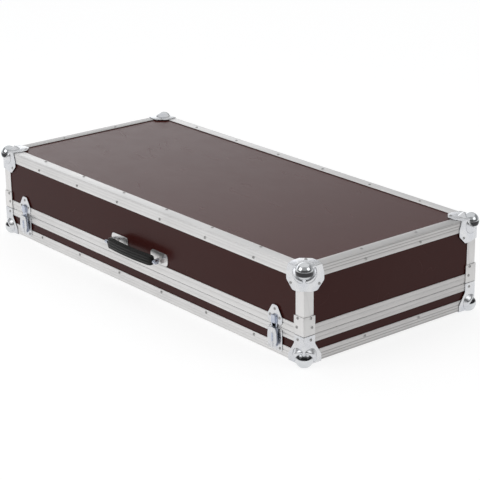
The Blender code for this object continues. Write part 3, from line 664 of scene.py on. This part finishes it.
def make_corner(node, name, body, corner, signs, lowest):
    ball = corner - signs * BALL_INSET
    collar = corner - signs * COLLAR_INSET
    bm = merged_copy(node)
    drop = [face for face in bm.faces if is_round_face(face, ball, collar)]
    bmesh.ops.delete(bm, geom=drop, context="FACES")
    soften(bm, FITTING_ROUND, segments=3)
    ears = set(bm.faces)
    turned_shape(bm, ball, signs, ROUND_PROFILE, ROUND_STEPS)
    for height in (FACE_GAP, FACE_GAP + CREVICE, FACE_GAP + 2 * CREVICE):
        cut_round(bm, ears, corner, signs, height)
    inside = [face for face in bm.faces if face not in ears
              and all((face.calc_center_median() - corner)[i] * signs[i] < FACE_GAP for i in range(3))]
    bmesh.ops.delete(bm, geom=inside, context="FACES")
    if lowest is not None:
        bmesh.ops.bisect_plane(bm, geom=[*bm.verts, *bm.edges, *bm.faces], plane_co=(0, 0, lowest),
                               plane_no=(0, 0, -1), clear_outer=True)
        rim = [edge for edge in bm.edges if edge.is_boundary
               and all(abs(vert.co.z - lowest) < ON_PLANE for vert in edge.verts)]
        bmesh.ops.edgeloop_fill(bm, edges=rim)
    for face in bm.faces:
        far = (face.calc_center_median() - ball).length
        face.material_index = 1 if face not in ears and far < BALL_RADIUS + FACE_SLACK else 0
    shade_corner(bm, ears, corner, signs, ball, LID_PAINTED_BELT if lowest is None else BASE_PAINTED_BELT)
    return finish_piece(bm, name, body, [corner_zinc, ball_zinc], node)


for label, (x_way, y_way) in CORNERS.items():
    edge_x = right_x if x_way > 0 else left_x
    edge_y = back_y if y_way > 0 else front_y
    make_corner(f"lid_corner_{label}", f"lid_fitting_{label}", "lid", Vector((edge_x, edge_y, top_z)),
                Vector((x_way, y_way, 1)), None)
    make_corner(f"base_corner_{label}", f"base_fitting_{label}", "base",
                Vector((edge_x, edge_y, bottom_z)), Vector((x_way, y_way, -1)), cad_low.z)
print("corner fittings:", [name for name in made if "fitting" in name])

# %% [markdown]
# Everything on such a case is held by pop rivets. The head is a low dome with a hole in its middle,
# where the mandrel broke off, and the hole reads as the dark dot of each rivet. One head is turned and
# then copied to every place that the photograph shows, and to the same places on the hidden sides.

# %% Rivets
RIVET_PROFILE = [(0.0, 0.0002), (0.0009, 0.0002), (0.0011, 0.0010), (0.0019, 0.0010), (0.0027, 0.0006),
                 (0.0030, 0.0)]
RIVET_STEPS = 12
COLUMNS = 6
PITCH_X = 0.139
HALF_PITCH_Y = 0.068
PLATE_FACE = 0.0015
LEAF_FACE = 0.0023
TOP_EAR_INSET = 0.034
BOTTOM_EAR_INSET = 0.028
LEAF_RISE = 0.009
LEAF_INSET = 0.010
CATCH_INSET, CATCH_FOOT, CATCH_HEAD = 0.0055, 0.0050, 0.0045
KEEPER_INSET, KEEPER_FOOT, KEEPER_HEAD = 0.0065, 0.0135, 0.0075
# The rivets of each corner: body, height, and distance from the corner on both flanks.
CORNER_RIVETS = [("lid", top_z - 0.034, 0.034), ("base", bottom_z + 0.045, 0.015),
                 ("lid", parting_z + 0.0315, 0.015), ("lid", parting_z + 0.0140, 0.0175)]
rivet_places = {"lid": [], "base": []}


def rivet(body, place, outward):
    rivet_places[body].append((Vector(place), Vector(outward)))


def edging_rivets(body, level, inset_front, inset_back, inset_end, up):
    """The rivets along the four edges: on the side faces, and on the top or underside."""
    flat = top_z if up > 0 else bottom_z
    for x in [middle_x + (i - (COLUMNS - 1) / 2) * PITCH_X for i in range(COLUMNS)]:
        for y, inset, way in ((front_y, inset_front, -1), (back_y, inset_back, 1)):
            rivet(body, (x, y, level), (0, way, 0))
            rivet(body, (x, y - way * inset, flat), (0, 0, up))
    for y in (middle_y - HALF_PITCH_Y, middle_y + HALF_PITCH_Y):
        for x, way in ((left_x, -1), (right_x, 1)):
            rivet(body, (x, y, level), (way, 0, 0))
            rivet(body, (x - way * inset_end, y, flat), (0, 0, up))


edging_rivets("lid", top_z - 0.016, inset_front=0.0178, inset_back=0.013, inset_end=0.013, up=1)
edging_rivets("base", bottom_z + 0.0165, inset_front=0.016, inset_back=0.016, inset_end=0.016, up=-1)
for x_way, y_way in CORNERS.values():
    corner_x = right_x if x_way > 0 else left_x
    corner_y = back_y if y_way > 0 else front_y
    side_x, side_y = corner_x + x_way * PLATE_FACE, corner_y + y_way * PLATE_FACE
    for body, z, along in CORNER_RIVETS:
        rivet(body, (corner_x - x_way * along, side_y, z), (0, y_way, 0))
        rivet(body, (side_x, corner_y - y_way * along, z), (x_way, 0, 0))
    rivet("lid", (corner_x - x_way * TOP_EAR_INSET, corner_y - y_way * TOP_EAR_INSET,
                  top_z + PLATE_FACE), (0, 0, 1))
    rivet("base", (corner_x - x_way * BOTTOM_EAR_INSET, corner_y - y_way * BOTTOM_EAR_INSET,
                   bottom_z - PLATE_FACE), (0, 0, -1))
for way in ("left", "right"):
    for node, body in ((f"hinge_base_leaf_{way}", "base"), (f"hinge_lid_leaf_{way}", "lid")):
        low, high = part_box(node)
        height = low.z + LEAF_RISE if body == "base" else high.z - LEAF_RISE
        for x in (low.x + LEAF_INSET, (low.x + high.x) / 2, high.x - LEAF_INSET):
            rivet(body, (x, back_y + LEAF_FACE, height), (0, 1, 0))
    low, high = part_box(f"latch_plate_{way}")
    for x in (low.x + CATCH_INSET, high.x - CATCH_INSET):
        rivet("base", (x, front_y - PLATE_FACE, low.z + CATCH_FOOT), (0, -1, 0))
        rivet("base", (x, front_y - PLATE_FACE, high.z - CATCH_HEAD), (0, -1, 0))
    low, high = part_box(f"latch_keeper_{way}")
    for x in (low.x + KEEPER_INSET, high.x - KEEPER_INSET):
        rivet("lid", (x, front_y - PLATE_FACE, low.z + KEEPER_FOOT), (0, -1, 0))
    rivet("lid", ((low.x + high.x) / 2, front_y - PLATE_FACE, high.z - KEEPER_HEAD), (0, -1, 0))


def make_rivets(body):
    head = bpy.data.meshes.new("rivet_head")
    one = bmesh.new()
    turned_shape(one, Vector((0, 0, 0)), (0, 0, 1), RIVET_PROFILE, RIVET_STEPS)
    one.to_mesh(head)
    one.free()
    bm = bmesh.new()
    for place, outward in rivet_places[body]:
        count = len(bm.verts)
        bm.from_mesh(head)
        bm.verts.ensure_lookup_table()
        turn = outward.to_track_quat("Z", "Y").to_matrix().to_4x4()
        bmesh.ops.transform(bm, matrix=Matrix.Translation(place) @ turn, verts=bm.verts[count:])
    return finish_piece(bm, f"{body}_rivets", body, [rivet_metal])


for body in rivet_places:
    make_rivets(body)
print("rivets:", {body: len(places) for body, places in rivet_places.items()})

# %% [markdown]
# The grip is moulded over a steel bar. Its section is a rounded block with ribs along its length, and
# it bows out in the middle to fit a fist. A circle is pushed into that section, then extruded from
# station to station. The sections shrink towards both ends, so that the ends are rounded.

# %% The grip
GRIP_RIBS = 12
GRIP_RIB_DEPTH = 0.0011
POINTS_PER_RIB = 8
SQUARENESS = 3.6
GRIP_BOW = 0.004
GRIP_STATIONS = [(-1.0, 0.50), (-0.985, 0.68), (-0.96, 0.84), (-0.92, 0.95), (-0.86, 1.0)]
GRIP_STATIONS += [(-0.75 + 0.125 * i, 1.0) for i in range(13)]
GRIP_STATIONS += [(-share, size) for share, size in reversed(GRIP_STATIONS[:5])]


def grip_section(angle, half_depth, half_height):
    """A point of the section: a rounded block whose surface goes in and out with the ribs."""
    c, s = math.cos(angle), math.sin(angle)
    reach = (abs(c) ** SQUARENESS + abs(s) ** SQUARENESS) ** (-1 / SQUARENESS)
    rib = 1 - GRIP_RIB_DEPTH / half_depth * (0.5 + 0.5 * math.cos(GRIP_RIBS * angle))
    return half_depth * reach * rib * c, half_height * reach * rib * s


def make_grip():
    low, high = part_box("handle_grip")
    half_length_grip = (high.x - low.x) / 2
    half_height = (high.z - low.z) / 2
    half_depth_grip = (high.y - low.y - GRIP_BOW) / 2
    end_centre = Vector((low.x, high.y - half_depth_grip, (low.z + high.z) / 2))
    bm = bmesh.new()
    turn = Matrix.Rotation(math.radians(90), 4, "Y")
    bmesh.ops.create_circle(bm, segments=GRIP_RIBS * POINTS_PER_RIB, radius=1, matrix=turn)
    for vert in bm.verts:
        across, upward = grip_section(math.atan2(vert.co.z, vert.co.y), half_depth_grip, half_height)
        vert.co = end_centre + Vector((0, across, upward))
    share, size = GRIP_STATIONS[0]
    bmesh.ops.scale(bm, vec=(1, size, size), space=Matrix.Translation(-end_centre), verts=bm.verts)
    loop = list(bm.edges)
    bmesh.ops.edgeloop_fill(bm, edges=loop)
    centre = end_centre
    for next_share, next_size in GRIP_STATIONS[1:]:
        made_now = bmesh.ops.extrude_edge_only(bm, edges=loop)["geom"]
        verts = [item for item in made_now if isinstance(item, bmesh.types.BMVert)]
        loop = [item for item in made_now if isinstance(item, bmesh.types.BMEdge)
                and all(vert in set(verts) for vert in item.verts)]
        bow = -GRIP_BOW * (1 - next_share ** 2)
        target = end_centre + Vector(((next_share + 1) * half_length_grip, bow, 0))
        bmesh.ops.translate(bm, vec=target - centre, verts=verts)
        ratio = next_size / size
        bmesh.ops.scale(bm, vec=(1, ratio, ratio), space=Matrix.Translation(-target), verts=verts)
        centre, size = target, next_size
    bmesh.ops.edgeloop_fill(bm, edges=loop)
    return finish_piece(bm, "ribbed_grip", "handle", [grip_plastic], "handle_grip",
                        sharp=60)


grip = make_grip()
print("grip:", len(grip.data.polygons), "faces")

# %% [markdown]
# The brackets that carry the grip are pressed plates with two lugs, whose edges are rounded. A pin goes
# through the lugs and the eye of the core, and its domed head, turned here, shows on the outer lug.

# %% Brackets and core
PIN_HEAD = [(0.0, 0.0018), (0.0016, 0.0016), (0.0030, 0.0009), (0.0036, 0.0), (0.0, 0.0)]
PIN_HEAD_PLACE = Vector((0.0848, -0.2150, 0.0900))
PIN_HEAD_STEPS = 32
BRACKET_ROUND = 0.0005

for way, sign in (("left", -1), ("right", 1)):
    node = f"handle_bracket_{way}"
    bm = merged_copy(node)
    soften(bm, BRACKET_ROUND, segments=3)
    centre = Vector((sign * PIN_HEAD_PLACE.x, PIN_HEAD_PLACE.y, PIN_HEAD_PLACE.z))
    turned_shape(bm, centre, (sign, 0, 0), PIN_HEAD, PIN_HEAD_STEPS)
    finish_piece(bm, f"grip_bracket_{way}", "lid", [bracket_zinc], node)
bm = merged_copy("handle_core")
soften(bm, BRACKET_ROUND, segments=3)
finish_piece(bm, "grip_core", "handle", [steel], "handle_core")
print("brackets and core done")

# %% [markdown]
# A latch is a stack of pressed parts: the plate with its axle, the sliding hook, the rotor and its two
# wings, and the keeper on the lid. Their outlines are right already, so each gets rounded edges, as a
# press leaves them, and its own gloss: the hook and the rotor are brighter than the plates.

# %% Latches
LATCH_ROUND = 0.0004

for node, obj in frame["nodes"].items():
    if not node.startswith("latch"):
        continue
    bm = merged_copy(node)
    soften(bm, LATCH_ROUND, segments=3)
    finish = steel if "rotor" in node or "hook" in node else zinc
    finish_piece(bm, f"{node}_pressed", obj["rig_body"], [finish], node)
print("latch parts:", sum(name.startswith("latch") for name in made))

# %% [markdown]
# Foam lines the tray and the lid. It is cut from sheet, so its faces are flat, but its edges never
# stay crisp: they are rounded by a few millimetres all round the hollow.

# %% Foam linings
FOAM_ROUND = 0.0035

for section in ("base", "lid"):
    node = f"{section}_foam"
    bm = merged_copy(node)
    soften(bm, FOAM_ROUND, segments=4)
    lining = finish_piece(bm, f"{section}_lining", section, [foam], node, sharp=70)
print("linings:", [name for name in made if "lining" in name])

# %% [markdown]
# The stage is a plain pale floor. Its own colour takes the light and the shadow of the case. For rays
# that come from the camera, a mirror or glass, a little glow is added, so that the floor reads as the
# white studio ground of the photograph.

# %% Stage: the floor
FLOOR_GLOW = 0.76


def make_floor():
    bm = bmesh.new()
    bmesh.ops.create_circle(bm, cap_ends=True, segments=64, radius=14)
    mesh = bpy.data.meshes.new("studio_floor")
    bm.to_mesh(mesh)
    bm.free()
    floor = bpy.data.objects.new("studio_floor", mesh)
    bpy.context.scene.collection.objects.link(floor)
    material, tree, shader, place = start_material("studio_floor", Roughness=0.9,
                                                   Specular_IOR_Level=0.0,
                                                   Base_Color=(0.34, 0.34, 0.34, 1),
                                                   Emission_Color=(1, 1, 1, 1))
    path = tree.nodes.new("ShaderNodeLightPath")
    seen = add_node(tree, "ShaderNodeMath", [(0, path.outputs["Is Camera Ray"]),
                                             (1, path.outputs["Is Glossy Ray"])], operation="MAXIMUM")
    seen = add_node(tree, "ShaderNodeMath", [(0, seen.outputs[0]),
                                             (1, path.outputs["Is Transmission Ray"])],
                    operation="MAXIMUM")
    glow = add_node(tree, "ShaderNodeMath", [(0, seen.outputs[0]), (1, FLOOR_GLOW)],
                    operation="MULTIPLY")
    tree.links.new(glow.outputs[0], shader.inputs["Emission Strength"])
    mesh.materials.append(material)
    return floor


floor = make_floor()
print("made", floor.name)

# %% [markdown]
# The light is that of a product studio. Behind the case a low bright wall fades upwards. It is
# brighter towards the left, and the side where the camera stands is dark. Two large soft lamps stand
# half raised, one in front and one at the right end: they are the two highlights that each polished
# ball shows. A third one hangs overhead.

# %% Stage: the light
BEHIND = (-0.776, 0.630, 0.0)
LEFT_WALL = (-0.970, 0.240, 0.0)
LOW_BAND = 1.50
DARK_SIDE = 0.20
SKY = 0.42
BEHIND_FADE = (-0.25, 0.35)
LEFT_FADE = (0.76, 0.92)
LEFT_LEVELS = (0.35, 1.15)
BAND_FADE = (0.25, 0.48)
SKY_FADE = (0.37, 0.50)


def make_surround():
    world = bpy.data.worlds.new("studio_surround")
    world.use_nodes = True
    tree = world.node_tree
    direction = tree.nodes.new("ShaderNodeTexCoord").outputs["Generated"]
    parts = add_node(tree, "ShaderNodeSeparateXYZ", [(0, direction)])
    behind = add_node(tree, "ShaderNodeVectorMath", [(0, direction), (1, BEHIND)],
                      operation="DOT_PRODUCT")
    side = ramp(tree, behind.outputs["Value"], *BEHIND_FADE, DARK_SIDE, 1.0)
    left = add_node(tree, "ShaderNodeVectorMath", [(0, direction), (1, LEFT_WALL)],
                    operation="DOT_PRODUCT")
    wall = ramp(tree, left.outputs["Value"], *LEFT_FADE, *LEFT_LEVELS)
    side = calculate(tree, "MULTIPLY", side, wall)
    band = ramp(tree, parts.outputs["Z"], *BAND_FADE, LOW_BAND, 0.0)
    sky = ramp(tree, parts.outputs["Z"], *SKY_FADE, 0.0, SKY)
    level = calculate(tree, "MULTIPLY_ADD", band, side, sky)
    tree.links.new(level, tree.nodes["Background"].inputs["Strength"])
    tree.nodes["Background"].inputs["Color"].default_value = (0.98, 0.99, 1.0, 1)
    bpy.context.scene.world = world


LAMP_TARGET = Vector((0.1, middle_y, 0.08))


def soft_lamp(name, direction, distance, width, height, power):
    """An area lamp that faces the case from the given direction."""
    data = bpy.data.lights.new(name, "AREA")
    data.shape = "RECTANGLE"
    data.size = width
    data.size_y = height
    data.energy = power
    lamp = bpy.data.objects.new(name, data)
    lamp.location = LAMP_TARGET + Vector(direction).normalized() * distance
    lamp.rotation_euler = (LAMP_TARGET - lamp.location).to_track_quat("-Z", "Y").to_euler()
    bpy.context.scene.collection.objects.link(lamp)
    return lamp


make_surround()
soft_lamp("front_softbox", (-0.18, -0.83, 0.535), distance=3.6, width=2.5, height=2.1, power=27)
soft_lamp("end_softbox", (0.80, 0.25, 0.535), distance=3.6, width=2.2, height=1.9, power=15.5)
soft_lamp("top_softbox", (-0.35, 0.28, 1.2), distance=4.4, width=8.0, height=8.0, power=88)
bpy.context.scene.view_settings.view_transform = "Standard"

# %% [markdown]
# The camera stands where the photographer stood. Its place, turn and lens come from fitting the
# case's long edges to the picture: a long lens, about three and a half metres away, looking down by
# 19.5 degrees.

# %% The camera
CAMERA_PLACE = Vector((2.53536, -2.01418, 1.20627))
CAMERA_YAW = math.radians(-50.858)
CAMERA_PITCH = math.radians(-19.473)
CAMERA_ROLL = math.radians(-0.6)
LENS_PIXELS = 1701.88
PICTURE_PIXELS = 480
SENSOR_WIDTH = 36

forward = Vector((math.sin(CAMERA_YAW) * math.cos(CAMERA_PITCH),
                  math.cos(CAMERA_YAW) * math.cos(CAMERA_PITCH), math.sin(CAMERA_PITCH)))
level_right = Vector((math.cos(CAMERA_YAW), -math.sin(CAMERA_YAW), 0))
level_up = level_right.cross(forward)
right = math.cos(CAMERA_ROLL) * level_right + math.sin(CAMERA_ROLL) * level_up
up = right.cross(forward)
camera_data = bpy.data.cameras.new("photo_camera")
camera_data.sensor_width = SENSOR_WIDTH
camera_data.lens = LENS_PIXELS / PICTURE_PIXELS * SENSOR_WIDTH
camera_data.clip_end = 60
camera = bpy.data.objects.new("photo_camera", camera_data)
camera.matrix_world = Matrix((
    (right.x, up.x, -forward.x, CAMERA_PLACE.x),
    (right.y, up.y, -forward.y, CAMERA_PLACE.y),
    (right.z, up.z, -forward.z, CAMERA_PLACE.z),
    (0, 0, 0, 1)))
bpy.context.scene.collection.objects.link(camera)
bpy.context.scene.camera = camera
print("lens in millimetres:", round(camera_data.lens, 2))
